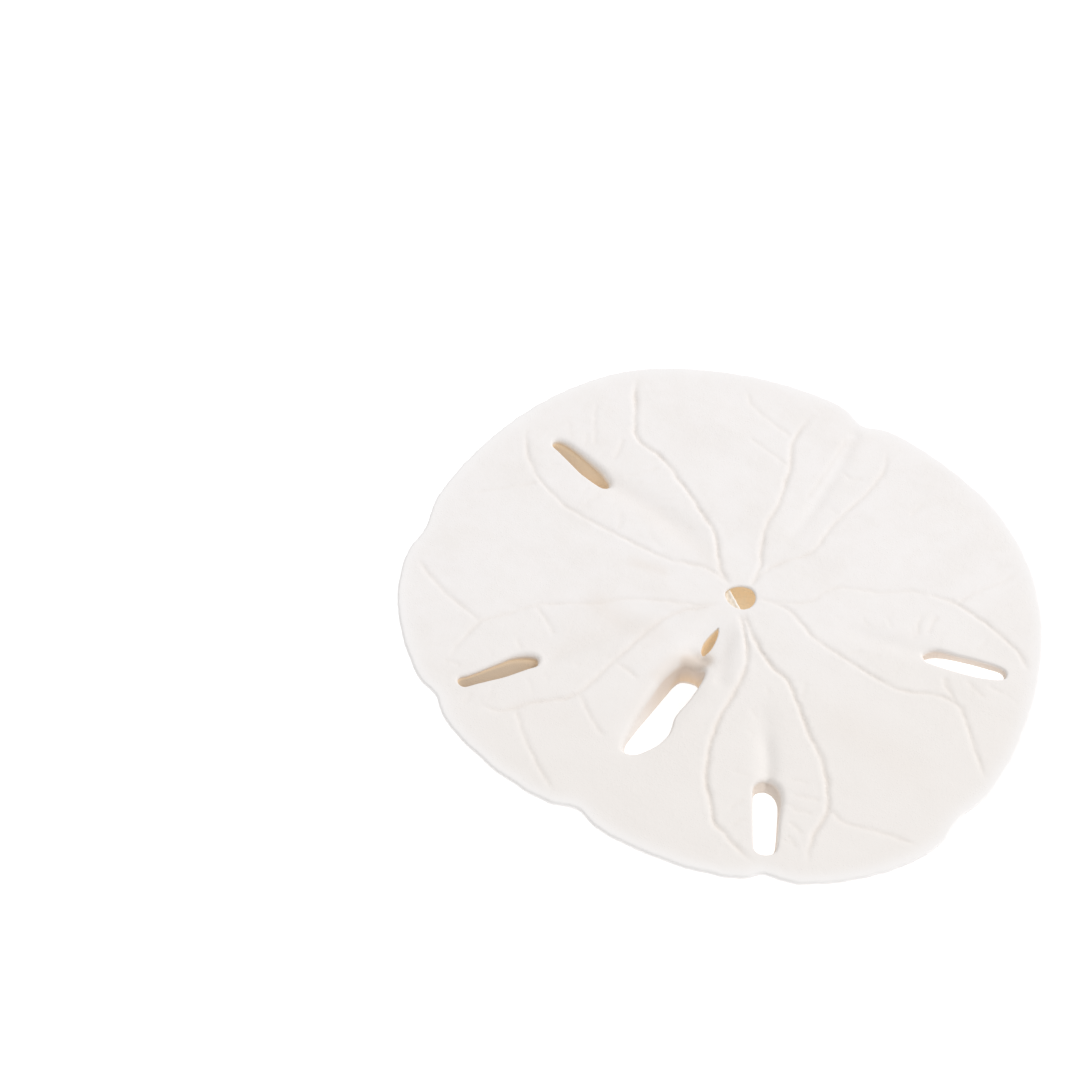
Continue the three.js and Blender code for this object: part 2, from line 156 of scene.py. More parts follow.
# Food grooves out from the mouth, each with how strongly it is cut
FOOD_GROOVES = [
    (0.8, [(-0.1, 2.6), (0, 4.4), (-0.6, 7.5), (-1.9, 10.1), (-3.9, 15.2), (-4.1, 18.4), (-4.7, 21.5),
        (-6.5, 28.1), (-8.8, 33.4), (-9.1, 40.5)]),
    (0.35, [(-6.5, 28.4), (-11, 29.2), (-15.4, 29.9)]),
    (0.35, [(-9.3, 34), (-14, 35), (-18.3, 36.3), (-20.4, 38.4)]),
    (0.6, [(0, 3.6), (0.4, 6.4), (1.2, 8.8), (2.4, 10.9), (4.2, 13.4), (5.1, 15.6), (5, 21.3), (5.4, 25),
        (6.3, 30), (6.6, 36.3), (5.9, 38.8), (4.7, 41.3)]),
    (0.4, [(2.4, 1.3), (4.6, 2.3), (6.9, 3.6), (9.4, 5.7), (10.6, 9.1), (12.4, 11.3), (18.1, 14.1),
        (21.7, 17), (25.3, 18.4)]),
    (0.7, [(24.6, 18.2), (28.9, 19.1), (31.7, 18.8), (36, 18.1), (39.6, 17), (42.4, 15.8), (45.2, 13.4)]),
    (0.4, [(29.2, 19.5), (31, 23.4), (33.1, 27), (34.6, 30.6)]),
    (0.7, [(3.6, 1.8), (6.7, 2.4), (9.6, 1.6), (12.4, 0.2), (15.3, -0.5), (24.6, -1.4), (29.6, -1.4),
        (32.4, -0.1), (35.6, 1.3), (38.9, 1.3), (40.3, -0.1), (43.1, -3), (46, -6.2), (49.6, -9.8)]),
    (0.5, [(34.2, 4.9), (36, 2.9), (38.9, 1.3)]),
    (1.1, [(1.6, -2), (3.3, -3.7), (5.3, -5.5), (8.1, -7.6), (11, -9.1), (13.9, -9.9), (16.7, -12.3),
        (22.4, -17.6), (25.3, -19.8), (27.4, -22.3), (29.2, -24.8), (31.2, -28.5), (31.6, -34),
        (33.5, -39.4)]),
    (0.5, [(31, -28), (34.6, -28.7), (38.1, -27.6), (42.4, -26.6), (45.8, -25.9)]),
    (1.15, [(1, -2.4), (2.2, -3.7), (3.3, -5), (5.3, -7.6), (7.1, -10.9), (8, -14.4), (8.4, -18.7),
        (8.9, -23), (9.9, -27.3), (11.4, -30.9), (13.1, -34.4), (15.6, -37.3), (17.8, -40.1), (20.3, -41.2),
        (23.9, -42.5), (27.4, -43.2)]),
    (0.45, [(-1.9, -2.3), (-3.3, -4), (-5.2, -5.5), (-6.9, -6.2), (-11.1, -8.4), (-15.4, -11.2),
        (-18.3, -14.4), (-22.6, -17.6), (-26.1, -20.5), (-28.3, -23.7), (-29.7, -25.9), (-31.5, -28.4),
        (-31.9, -35.1), (-31.1, -38.6)]),
    (0.5, [(-31.5, -28.4), (-34.7, -27.6), (-38.3, -26.9), (-43.3, -25.1), (-46.3, -23.5)]),
    (0.35, [(-26.1, -20.5), (-22.6, -22.3), (-20.6, -24)]),
    (0.75, [(-2.9, -3.9), (-4.5, -5.7), (-6.5, -8), (-8.3, -11.2), (-9.1, -15.1), (-9.7, -18.7),
        (-10.6, -24.6), (-11.5, -30.5), (-12.6, -33), (-14.7, -35.1), (-16.9, -37.3), (-18.6, -39.8),
        (-20.4, -41.6), (-24, -42)]),
    (0.4, [(-10.4, -22.6), (-7.6, -23), (-5.4, -23.4)]),
    (0.45, [(-11.5, -31.2), (-8.3, -33.7), (-5.4, -35.5), (-4, -36.2)]),
    (0.5, [(-18, -39.6), (-15.4, -42.3), (-11.9, -45.1), (-8.3, -47.6), (-5, -49.6)]),
    (0.6, [(-2.5, 1), (-4.6, 1.8), (-7.6, 2), (-11.1, 0.9), (-14, -0.1), (-22.6, -0.5), (-31.1, -0.5),
        (-34.7, 0.2), (-38.3, 1.6), (-40.6, 3), (-42.8, 4.7), (-45.1, 7.8), (-47, 11.2)]),
    (0.35, [(-38.9, 1.1), (-42.4, -2.8), (-46.6, -7.2)]),
    (0.95, [(-2.3, 1.2), (-4.2, 2), (-6, 3.7), (-7.9, 6.3), (-9.7, 8.8), (-11.9, 10.4), (-14.7, 12),
        (-17.6, 13.9), (-20.4, 15.2), (-23.3, 17), (-26.1, 17.9), (-29.4, 18.4), (-31.1, 19.5), (-32.6, 22),
        (-34, 24.5), (-35.8, 27.4), (-37.2, 31)]),
]
# Fine wrinkles that were read beside the lunules and in the front ray
WRINKLES = [
    (0.3, [(-39.6, 21.2), (-38.4, 18.6), (-36.2, 14.9), (-35.2, 13.2)]),
    (0.35, [(-32.1, 17.5), (-31.5, 14.3), (-31.1, 12.6)]),
    (0.25, [(-27.9, 10.7), (-26.3, 12.8), (-24.2, 15.7)]),
    (0.25, [(-30.6, 0.8), (-29.6, 4), (-29.2, 5.4)]),
    (0.35, [(25.4, -29), (26.6, -28.2), (29.3, -27.3)]),
    (0.4, [(26.4, -31.3), (27.6, -30.8), (29.6, -30.2)]),
    (0.4, [(27.4, -33.5), (28.4, -33.7), (30.1, -34.5)]),
    (0.35, [(28.3, -35.8), (29.2, -36.3), (30.6, -37.3)]),
    (0.35, [(19.5, -33.9), (19, -35), (18.5, -36.8)]),
    (0.3, [(21.2, -37.1), (20.7, -38), (20.4, -39.4)]),
    (0.35, [(34.4, 5.2), (35.8, 3.5), (37.6, 1.6)]),
    (0.4, [(37.3, 6.4), (38.9, 5.8), (41.5, 5)]),
    (0.3, [(40.8, 7.6), (41.9, 7.3), (43.6, 7.6)]),
    (0.35, [(27, 9.6), (25.9, 12.3), (25.8, 14)]),
    (0.35, [(28.2, 11.1), (27.7, 13.8), (27.6, 15.3)]),
    (0.25, [(2.6, 24.8), (3.8, 24.3), (5, 24.2)]),
    (0.25, [(1.3, 32.6), (2.7, 32.1), (4.8, 33.2)]),
    (0.3, [(-1.2, 24), (-1.3, 32), (-1.9, 40)]),
    (0.25, [(14.6, 30.4), (15.2, 34.4)]),
]
# Fans of fainter wrinkles on both sides of each paired lunule: how many on a side, the share of its length
# at which they start and stop, how far that strays, the lean in degrees at the inner end and what a length
# adds to it, and from where to where their distance, length, drift outwards and strength are drawn
FAN = {"count": 7, "along": (-1.1, 0.95), "stray": (-0.13, 0.13), "lean": (-12, 65), "away": (2.2, 3.4),
       "length": (1.6, 4.2), "drift": (-0.3, 0.8), "strength": (0.06, 0.24)}
GROOVE_WOBBLE = 0.12  # how far the grooves waver from their lines

# Broad soft hollows, each with its depth, its half width and the line along which it runs
HOLLOWS = [
    (0.4, 1.1, [(15.5, -19.6), (17.5, -22.8), (19.3, -25.6), (20.8, -28.4)]),
    (0.25, 1.7, [(11.5, -14), (16, -21), (19.5, -27)]),
    (0.4, 2.3, [(-7.5, 3.6), (-11.5, 5.6), (-16.5, 6.8), (-22, 7.6), (-28.5, 8)]),
    (0.4, 1.5, [(-10.5, -11.5), (-13.2, -17.5), (-16.5, -23), (-19.3, -28)]),
    (0.22, 1.6, [(14.5, 3.2), (19.5, 4.6), (25, 6), (29, 7.2)]),
    (0.8, 1.6, [(0.7, -12), (0.6, -13.4), (0.5, -16)]),
    (0.34, 1.25, [(1, -4.8), (2.4, -8.2), (3.3, -10.8), (4.3, -13.4), (5.2, -16)]),
    (0.24, 1.0, [(0.6, 10), (0.7, 17), (0.8, 21.9), (0.5, 27.1), (0.1, 32.3), (-1, 40.5)]),
]

# Soft stains and painted shade on the oral face, much of it along the hollows, each with its strength, its
# half width and the line along which it runs
FACE_STAIN_AND_SHADE = [
    (0.64, 1.5, [(1, -13.3), (0, -14.4), (-0.9, -15.6)]),
    (0.25, 1.8, [(-1.2, -14.6), (-2.4, -17), (-3, -21)]),
    (0.12, 1.7, [(-3, -21), (-3.1, -26), (-2.8, -30)]),
    (0.14, 2.8, [(-6, 3.1), (-11, 5), (-17, 6.4), (-24, 7.9), (-28.5, 8.3)]),
    (0.2, 1.6, [(-17.4, -3.8), (-13.2, -2.7)]),
    (0.18, 3.4, [(-18, -14.3), (-13, -15.5), (-9, -14)]),
    (0.09, 3.0, [(-14, -7), (-9, -6), (-4, -6)]),
    (0.13, 5.0, [(25.5, -12.5), (32, -13), (38, -14)]),
    (0.10, 4.0, [(-16.2, -38.3), (-8.9, -36)]),
    (0.12, 1.6, [(2.2, -7.8), (3.3, -10.8), (4.5, -14)]),
    (0.11, 2.0, [(-11.5, -13.5), (-15, -20), (-18.5, -26.5)]),
    (0.12, 1.3, [(20.5, -27), (23, -32)]),
    (0.06, 1.8, [(20, 4.8), (28.5, 7.4)]),
]

# The paler strip along the margin is painted light, which the rounded rim catches
RIM_LIGHT_WIDTH = 1.6  # how wide the paler strip along the margin is

# Petals on the aboral side: direction in degrees from the front, clockwise from above, and length
PETALS = [(-1, 24.5), (75, 23), (146, 23.5), (-145, 23.5), (-75.5, 23)]
PETAL_START = 3.2
PETAL_HALF = 4.5  # half width at the widest place
PORE_ZONE = 1.7  # width of the band of pores inside a petal's edge
PORE_STEP = 0.52  # from one pore slit to the next
# How deep a petal's bands of pores lie, and the lines along their outer and inner edges and along its
# middle, and how far the field between the bands stands out
PETAL_RELIEF = {"band": 0.10, "outer": 0.09, "inner": 0.05, "middle": 0.05, "field": 0.12}
APEX_DISC = 1.9  # radius of the disc where the petals meet
GONOPORES = [45, 135, 225, 315]  # directions of the disc's four pores

# How densely points are set on a face: they keep this far from a loop, a guide line and each other, and
# rows of them follow the margin and the openings at these distances
LOOP_GAP = 0.3
GUIDE_GAP = 0.19
FILL_GAP = 0.2
MARGIN_GAP = 0.32
MARGIN_ROWS = (0.35, 0.8, 1.35)
OPENING_ROWS = (0.3, 0.65, 1.1)

WARM_SIDE = (0.62, -0.78, 0.0)  # the direction in which the white turns warmer

# How the photograph sees the test: the camera's direction from it, its tilt about the view, its distance
# from the mouth, where the mouth lies in the view, and the lens on a 36 mm sensor
VIEW_AZIMUTH = 24.64
VIEW_ELEVATION = 51.26
VIEW_ROLL = 8.55
VIEW_DISTANCE = 580.0
MOUTH_IN_VIEW = (32.07, -9.18)
LENS = 121.2
SENSOR = 36.0
MOUTH_SINKS = 0.3  # the middle of the mouth lies this far below the margin

# Key light: its direction in the view (right, up, towards the camera), and its distance and size in widths
# of the test, in which the floor's reach is counted too
KEY_TOWARDS = (0.62, 0.62, 0.35)
KEY_AWAY = 16
KEY_SIZE = 9
FLOOR_REACH = 40

# What the settings that are lengths or colours have in common
LENGTH = {"subtype": "DISTANCE", "unit": "LENGTH"}
COLOUR = {"subtype": "COLOR", "size": 3, "min": 0.0, "max": 1.0}


class TestSettings(bpy.types.PropertyGroup):
    """Sizes of the test's surface relief."""
    groove_depth: FloatProperty(
        name="Groove Depth", description="Depth of a full-strength food groove",
        default=0.27 * MM, min=0.0, **LENGTH)
    groove_half: FloatProperty(
        name="Groove Half Width", description="Distance from a groove's middle to its shoulder",
        default=0.35 * MM, min=0.0, **LENGTH)
    rim_round: FloatProperty(
        name="Margin Rounding", description="How far in the rounding of the margin starts",
        default=0.42 * MM, min=0.0, **LENGTH)
    rim_under: FloatProperty(
        name="Margin Underside", description="How far in from the margin the aboral face ends",
        default=1.7 * MM, min=0.0, **LENGTH)
    point_spacing: FloatProperty(
        name="Point Spacing", description="Distance between points on the plain parts of a face",
        default=0.62 * MM, min=0.2 * MM, **LENGTH)
    seed: IntProperty(name="Seed", description="Seed of the small unevenness", default=7, min=0)


class FinishSettings(bpy.types.PropertyGroup):
    """Colours and grain of the bleached calcite, and the colours that paint shade and light on it."""
    white: FloatVectorProperty(
        name="White", description="Bleached calcite", default=(0.897, 0.868, 0.857), **COLOUR)
    # Painted light: the paler strip along the margin, which the rounded rim catches
    pale: FloatVectorProperty(
        name="Pale", description="The thin edge", default=(0.93, 0.915, 0.912), **COLOUR)
    # A darker, warmer white, which the colour turns to in large patches and towards the back right
    warm: FloatVectorProperty(
        name="Warm White", description="The slightly stained side behind the mouth",
        default=(0.866, 0.828, 0.798), **COLOUR)
    # Beige, tan and brown colour the stain mark: the walls' own stain, and painted shade that deepens with
    # depth below a lip
    beige: FloatVectorProperty(
        name="Beige", description="Lightly stained walls", default=(0.775, 0.685, 0.61), **COLOUR)
    tan: FloatVectorProperty(
        name="Tan", description="Deeply stained walls", default=(0.80, 0.61, 0.42), **COLOUR)
    # Painted shade: the darkest wall colour, for slits that are painted as dark as if in shadow
    shade_brown: FloatVectorProperty(
        name="Brown", description="The most stained wall", default=(0.56, 0.44, 0.325), **COLOUR)
    glow: FloatVectorProperty(
        name="Glow", description="Light that comes through the thin walls of the pockets",
        default=(0.183, 0.184, 0.139), **COLOUR)
    roughness: FloatProperty(
        name="Roughness", description="Roughness of the chalky surface", default=0.72, min=0.0, max=1.0,
        subtype="FACTOR")
    grain: FloatProperty(
        name="Tubercle Height", description="Height of the fine tubercles that cover the test",
        default=0.022 * MM, min=0.0, **LENGTH)


class StudioSettings(bpy.types.PropertyGroup):
    """The light and the floor's glow."""
    key_power: FloatProperty(
        name="Key Power", description="Power of the soft key light", default=12.5, min=0.0, unit="POWER")
    fill: FloatProperty(
        name="Fill", description="Brightness of the white surroundings", default=0.673, min=0.0)
    floor_glow: FloatProperty(
        name="Floor Glow", description="Light that the white floor gives of its own", default=0.42, min=0.0)


# Lines and loops


def curve_through(points, closed=False, per_stretch=14):
    """A dense smooth line through the points (a Catmull-Rom curve)."""
    points = np.array(points, float)
    if closed:
        padded = np.vstack([points[-1], points, points[:2]])
    else:
        padded = np.vstack([2 * points[0] - points[1], points, 2 * points[-1] - points[-2]])
    share = np.linspace(0, 1, per_stretch, endpoint=False)[:, None]
    stretches = []
    for i in range(len(padded) - 3):
        a, b, c, d = padded[i:i + 4]
        stretches.append(0.5 * (2 * b + (c - a) * share + (2 * a - 5 * b + 4 * c - d) * share ** 2
                                + (3 * b - a - 3 * c + d) * share ** 3))
    line = np.vstack(stretches)
    return line if closed else np.vstack([line, points[-1]])


def spread(line, count, closed=False):
    """The same line as `count` points at equal distances."""
    if closed:
        line = np.vstack([line, line[0]])
    along = np.concatenate([[0], np.cumsum(np.linalg.norm(np.diff(line, axis=0), axis=1))])
    at = np.linspace(0, along[-1], count, endpoint=not closed)
    return np.stack([np.interp(at, along, line[:, 0]), np.interp(at, along, line[:, 1])], 1)


def length_of(line):
    return float(np.linalg.norm(np.diff(line, axis=0), axis=1).sum())


def sideways(line, closed=False):
    """Unit vectors to the left of the line."""
    if closed:
        along = np.roll(line, -1, axis=0) - np.roll(line, 1, axis=0)
    else:
        along = np.gradient(line, axis=0)
    along /= np.linalg.norm(along, axis=1)[:, None]
    return np.stack([-along[:, 1], along[:, 0]], 1)


def smooth_step(low, high, value):
    share = np.clip((value - low) / (high - low), 0, 1)
    return share * share * (3 - 2 * share)


def ripple(points, wave, seed, waves=14):
    """Even, smooth unevenness between about -1 and 1 over the plane, with bumps about `wave` across."""
    rng = np.random.default_rng(seed)
    total = np.zeros(len(points))
    for direction, phase, stretch in zip(rng.uniform(0, math.tau, waves), rng.uniform(0, math.tau, waves),
                                         rng.uniform(0.7, 1.4, waves)):
        across = points[:, 0] * math.cos(direction) + points[:, 1] * math.sin(direction)
        total += np.cos(across * math.tau / (2 * wave * stretch) + phase)
    return total / math.sqrt(2 * waves)


def margin_loop(count, inset=0.0):
    """The outline of the test, moved in by `inset`."""
    loop = spread(curve_through(MARGIN, closed=True), count, closed=True)
    press = np.zeros(count)
    for place, depth, reach in DENTS:
        away = np.linalg.norm(loop - place, axis=1) / reach
        press += depth * np.exp(-away ** 2)
    radius = np.linalg.norm(loop, axis=1)
    wear = 0.07 * ripple(loop, 2.2, 11) + 0.04 * ripple(loop, 0.8, 12)
    return loop * ((radius - press + wear - inset) / radius)[:, None]


def outline_loop(points, count, grow=0.0):
    """A closed outline through the points, moved outwards by `grow`, which may differ along it."""
    loop = spread(curve_through(points, closed=True), count, closed=True)
    after = np.roll(loop, -1, axis=0)
    area = (loop[:, 0] * after[:, 1] - loop[:, 1] * after[:, 0]).sum()
    outward = -sideways(loop, closed=True) * math.copysign(1, area)
    return loop + outward * np.reshape(grow, (-1, 1))


def distance_to(points, line, reach):
    """Distance of each point to a line, and how far along it, as a share. Past `reach` it is infinite."""
    away = np.full(len(points), np.inf)
    share = np.zeros(len(points))
    low, high = line.min(axis=0) - reach, line.max(axis=0) + reach
    near = np.flatnonzero(((points > low) & (points < high)).all(axis=1))
    start, step = line[:-1], np.diff(line, axis=0)
    squared = (step ** 2).sum(axis=1)
    for chunk in np.array_split(near, max(1, len(near) * len(start) // 2_000_000)):
        offset = points[chunk][:, None] - start[None]
        along = np.clip((offset * step).sum(axis=2) / squared, 0, 1)
        gap = np.linalg.norm(offset - along[..., None] * step, axis=2)
        best = gap.argmin(axis=1)
        rows = np.arange(len(chunk))
        away[chunk] = gap[rows, best]
        share[chunk] = (best + along[rows, best]) / len(start)
    return away, share


def rim_light_share(points):
    """How near each point is to the margin, from 0 to 1, which sets the painted light along the rim"""
    margin = margin_loop(300)
    away = distance_to(points, np.vstack([margin, margin[0]]), 3 * RIM_LIGHT_WIDTH)[0]
    return np.exp(-((away / RIM_LIGHT_WIDTH) ** 2))


def beside_lines(points, lines, count):
    """For each strength, half width and line: the strength at each point, and its share along the line"""
    for strength, width, line in lines:
        away, along = distance_to(points, spread(curve_through(line), count), 3 * width)
        yield strength * np.exp(-((away / width) ** 2)), along


# Heights of the two faces


def oral_base(points):
    radius = np.linalg.norm(points, axis=1)
    return RIM_HEIGHT - BOWL * (1 - (radius / MIDDLE_RADIUS) ** 2)


def thickness(points):
    return EDGE_THICKNESS + DOME * np.exp(-((np.linalg.norm(points, axis=1) / DOME_REACH) ** DOME_POWER))


def all_grooves():
    """The food grooves and wrinkles that were read, and fans of fainter ones on both sides of each ray"""
    lines = FOOD_GROOVES + WRINKLES
    rng = np.random.default_rng(5)
    for slot in LUNULES[:PAIRED]:
        loop = np.array(slot["oral"])
        inner = loop[0]
        outer = loop[np.linalg.norm(loop - inner, axis=1).argmax()]
        axis = (outer - inner) / np.linalg.norm(outer - inner)
        for side in (1, -1):
            across = side * np.array([-axis[1], axis[0]])
            shares = np.linspace(*FAN["along"], FAN["count"])
            for share in shares + rng.uniform(*FAN["stray"], FAN["count"]):
                lean = math.radians(FAN["lean"][0] + FAN["lean"][1] * share)
                way = across * math.cos(lean) + axis * math.sin(lean)
                start = inner + (outer - inner) * share + across * rng.uniform(*FAN["away"])
                length = rng.uniform(*FAN["length"])
                end = start + way * length + axis * rng.uniform(*FAN["drift"])
                lines = lines + [(rng.uniform(*FAN["strength"]), [start, start + way * length / 2, end])]
    return lines


def groove_share(points, half):
    """How deep each point lies in the food grooves, from 0 to about 1, and the low banks beside them."""
    floor = np.zeros(len(points))
    banks = np.zeros(len(points))
    uneven = 1 + 0.25 * ripple(points, 2.4, 31)
    wobble = np.stack([ripple(points, 1.3, 32), ripple(points, 1.3, 33)], 1)
    points = points + GROOVE_WOBBLE * wobble
    for strength, route in all_grooves():
        away, along = distance_to(points, spread(curve_through(route), 60), 6 * half)
        ends = smooth_step(0, 0.05, along) * smooth_step(1, 0.88, along)
        floor = np.maximum(floor, strength * uneven * ends * np.exp(-((away / half) ** 1.7)))
        banks = np.maximum(banks, strength * ends * np.exp(-(((away - 2.3 * half) / (0.9 * half)) ** 2)))
    return floor, banks * (1 - np.minimum(1, 2 * floor))


def valleys(points):
    """Depth of the broad hollows, with the funnel that leads into the single lunule"""
    x, y = points.T
    share = smooth_step(*FUNNEL["full"], y) * (1 - smooth_step(*FUNNEL["faded"], y))
    total = FUNNEL["depth"] * share * np.exp(-(np.abs(x - FUNNEL["middle"]) / FUNNEL["half"]) ** 2.4)
    for depth, along in beside_lines(points, HOLLOWS, 30):
        total += depth * smooth_step(0, 0.45, along)
    return total


# Stain and painted shade on the oral face, much of it along the hollows
def face_stain_and_shade(points):
    return np.max([stain for stain, along in beside_lines(points, FACE_STAIN_AND_SHADE, 20)], axis=0)


def oral_height(points, settings):
    floor, banks = groove_share(points, settings.groove_half / MM)
    depth = settings.groove_depth / MM
    uneven = 0.035 * ripple(points, 7, settings.seed) + 0.02 * ripple(points, 2.6, settings.seed + 1)
    uneven += 0.007 * ripple(points, 0.9, settings.seed + 2)
    return oral_base(points) - valleys(points) - depth * floor + 0.16 * depth * banks + uneven


def petal_half(share):
    """Half the width of a petal at each share of its length"""
    return PETAL_HALF * (0.14 + 0.86 * np.sin(math.pi * share ** 0.85) ** 0.72)


def petal_place(points, turn, length):
    """Share along a petal, distance to its middle line, and the petal's half width there"""
    angle = math.radians(90 - turn)
    along = points[:, 0] * math.cos(angle) + points[:, 1] * math.sin(angle)
    aside = -points[:, 0] * math.sin(angle) + points[:, 1] * math.cos(angle)
    share = (along - PETAL_START) / length
    return share, aside, petal_half(np.clip(share, 0, 1))


def petal_edges():
    """Both edges of each petal, and the inner edges of its bands of pores"""
    share = np.linspace(0.01, 1, 120)
    for turn, length in PETALS:
        along = PETAL_START + length * share
        angle = math.radians(90 - turn)
        for side in (1, -1):
            for inset in (0.0, PORE_ZONE):
                aside = side * np.maximum(0.05, petal_half(share) - inset)
                yield np.stack([along * math.cos(angle) - aside * math.sin(angle),
                                along * math.sin(angle) + aside * math.cos(angle)], 1)


def petal_relief(points):
    """Depth of the petals' relief, and the share of each point in a pore zone with its place along it"""
    relief = np.zeros(len(points))
    zone = np.zeros(len(points))
    place = np.zeros((len(points), 2))
    for turn, length in PETALS:
        share, aside, half = petal_place(points, turn, length)
        within = smooth_step(-0.01, 0.04, share) * smooth_step(1.015, 0.98, share)
        edge = np.abs(aside) - half
        band = within * smooth_step(0.12, -0.12, edge)
        band *= smooth_step(-PORE_ZONE - 0.2, -PORE_ZONE + 0.1, edge)
        relief += PETAL_RELIEF["band"] * band
        relief += PETAL_RELIEF["outer"] * within * np.exp(-((edge / 0.24) ** 2))
        relief += PETAL_RELIEF["inner"] * within * np.exp(-(((edge + PORE_ZONE) / 0.25) ** 2))
        relief -= PETAL_RELIEF["field"] * within * smooth_step(-PORE_ZONE, -PORE_ZONE - 1.2, edge)
        relief += PETAL_RELIEF["middle"] * within * np.exp(-((aside / 0.25) ** 2))
        use = band > zone
        zone[use] = band[use]
        place[use] = np.stack([share * length, edge / PORE_ZONE], 1)[use]
    return relief, zone, place


def apex_relief(points):
    """The small raised disc where the petals meet, with its four pores"""
    radius = np.linalg.norm(points, axis=1)
    angle = np.arctan2(points[:, 1], points[:, 0])
    star = APEX_DISC * (1 + 0.16 * np.cos(5 * (angle - math.pi / 2)))
    relief = 0.14 * np.exp(-(((radius - star) / 0.22) ** 2)) - 0.08 * smooth_step(star, star - 0.8, radius)
    for turn in GONOPORES:
        spot = np.array([math.cos(math.radians(turn)), math.sin(math.radians(turn))]) * (APEX_DISC + 0.5)
        relief += 0.5 * np.exp(-((np.linalg.norm(points - spot, axis=1) / 0.27) ** 4))
    return relief


def aboral_height(points, settings):
    level = np.maximum(0, oral_base(points) - thickness(points))
    relief = petal_relief(points)[0] + apex_relief(points)
    uneven = 0.035 * ripple(points, 6, settings.seed + 5) + 0.015 * ripple(points, 2.2, settings.seed + 6)
    away = np.linalg.norm(points, axis=1)
    return np.maximum(0, level + relief + uneven * smooth_step(3, 12, away))


# Mesh of the test


class Parts:
    """Points, faces and marks of one mesh, gathered piece by piece."""

    def __init__(self):
        self.points = []
        self.faces = []
        # The stain mark holds the openings' own stain together with painted shade in the openings and
        # hollows
        self.marks = {"stain": [], "thin": [], "edge": [], "groove": [], "pores": [], "pore_place": []}
        self.count = 0

    def add(self, flat, height, **marks):
        """Adds points, and returns their numbers."""
        size = len(flat)
        self.points.append(np.column_stack([flat, height]))
        for name, kept in self.marks.items():
            shape = (size, 2) if name == "pore_place" else (size,)
            value = np.zeros(shape) if name not in marks else np.broadcast_to(marks[name], shape)
            kept.append(value)
        self.count += size
        return np.arange(self.count - size, self.count)

    def loft(self, rows):
        """Adds closed rows of equally many points, with quads between each and the next. A row is its
        places, its heights and its marks. Returns the rows' point numbers."""
        rings = [self.add(flat, height, **marks) for flat, height, marks in rows]
        for first, second in zip(rings, rings[1:]):
            corners = (first, np.roll(first, -1), np.roll(second, -1), second)
            self.faces.extend(zip(*(corner.tolist() for corner in corners)))
        return rings

    def mesh(self, name):
        """The finished mesh"""
        mesh = bpy.data.meshes.new(name)
        mesh.from_pydata(np.vstack(self.points), [], self.faces)
        for mark, kept in self.marks.items():
            kind = "FLOAT2" if mark == "pore_place" else "FLOAT"
            layer = mesh.attributes.new(mark, kind, "POINT")
            values = np.concatenate(kept).astype(np.float32).ravel()
            layer.data.foreach_set("vector" if kind == "FLOAT2" else "value", values)
        mesh.update()
        return mesh


class Scatter:
    """Keeps points that are not too close to the ones kept before, by a grid of taken cells."""
    CELL = 0.08
    REACH = 56.0
    BORDER = 3  # the outermost strip of the grid, in which no point is kept

    def __init__(self):
        size = int(2 * self.REACH / self.CELL)
        self.taken = np.zeros((size, size), bool)
        self.kept = []

    def cells(self, points):
        """Row and column of each point in the grid of taken places"""
        return ((points + self.REACH) / self.CELL).astype(int).T

    def block(self, points, radius):
        """Marks the places within the radius of the points as taken."""
        reach = int(radius / self.CELL)
        across, down = self.cells(points)
        for i in range(-reach, reach + 1):
            for j in range(-reach, reach + 1):
                if i * i + j * j <= (radius / self.CELL) ** 2:
                    self.taken[across + i, down + j] = True

    def keep(self, points, radius):
        """Keeps the points whose places are free, and takes the places round them."""
        points = points[(np.abs(points) < self.REACH - self.BORDER).all(axis=1)]
        free = points[~self.taken[tuple(self.cells(points))]]
        self.block(free, radius)
        self.kept.append(free)


def inside(points, loop):
    """Which points lie inside a closed loop"""
    result = np.zeros(len(points), bool)
    x, y = points.T
    for (ax, ay), (bx, by) in zip(loop, np.roll(loop, -1, axis=0)):
        crosses = (ay > y) != (by > y)
        if crosses.any():
            result[crosses] ^= x[crosses] < (bx - ax) * (y[crosses] - ay) / (by - ay) + ax
    return result


def hexagonal_fill(spacing):
    """Evenly spread points over the whole plane of the test"""
    reach = Scatter.REACH - Scatter.BORDER
    rows = np.arange(-reach, reach, spacing * math.sqrt(3) / 2)
    columns = np.arange(-reach, reach, spacing)
    x, y = np.meshgrid(columns, rows)
    x[1::2] += spacing / 2
    return np.stack([x.ravel(), y.ravel()], 1)


def rows_along(line, offsets, step):
    """Rows of points beside a line, the middle one first"""
    for offset in offsets:
        for side in ((1,) if offset == 0 else (1, -1)):
            row = line + sideways(line) * offset * side
            yield spread(row, max(2, int(length_of(row) / step)))


def on_face(points, outer, holes):
    """Which points lie inside the outer loop and in none of the openings"""
    use = inside(points, outer)
    for hole in holes:
        use &= ~inside(points, hole)
    return use


def face_points(outer, holes, guides, spacing):
    """The points of a face between its loops: close rows along the loops and guides, and an even fill"""
    scatter = Scatter()
    for loop in (outer, *holes):
        scatter.block(loop, LOOP_GAP)
    middle = outer.mean(axis=0)
    for inset in MARGIN_ROWS:
        scatter.keep(middle + (outer - middle) * (1 - inset / MIDDLE_RADIUS), MARGIN_GAP)
    for loop in holes:
        out = sideways(loop, closed=True)
        if inside(loop[:1] + out[:1] * 0.01, loop)[0]:
            out = -out
        for grow in OPENING_ROWS:
            scatter.keep(loop + out * grow, LOOP_GAP)
    for line, offsets, step in guides:
        for row in rows_along(line, offsets, step):
            scatter.keep(row, GUIDE_GAP)
    scatter.keep(hexagonal_fill(spacing), FILL_GAP)
    points = np.vstack(scatter.kept)
    return points[on_face(points, outer, holes)]


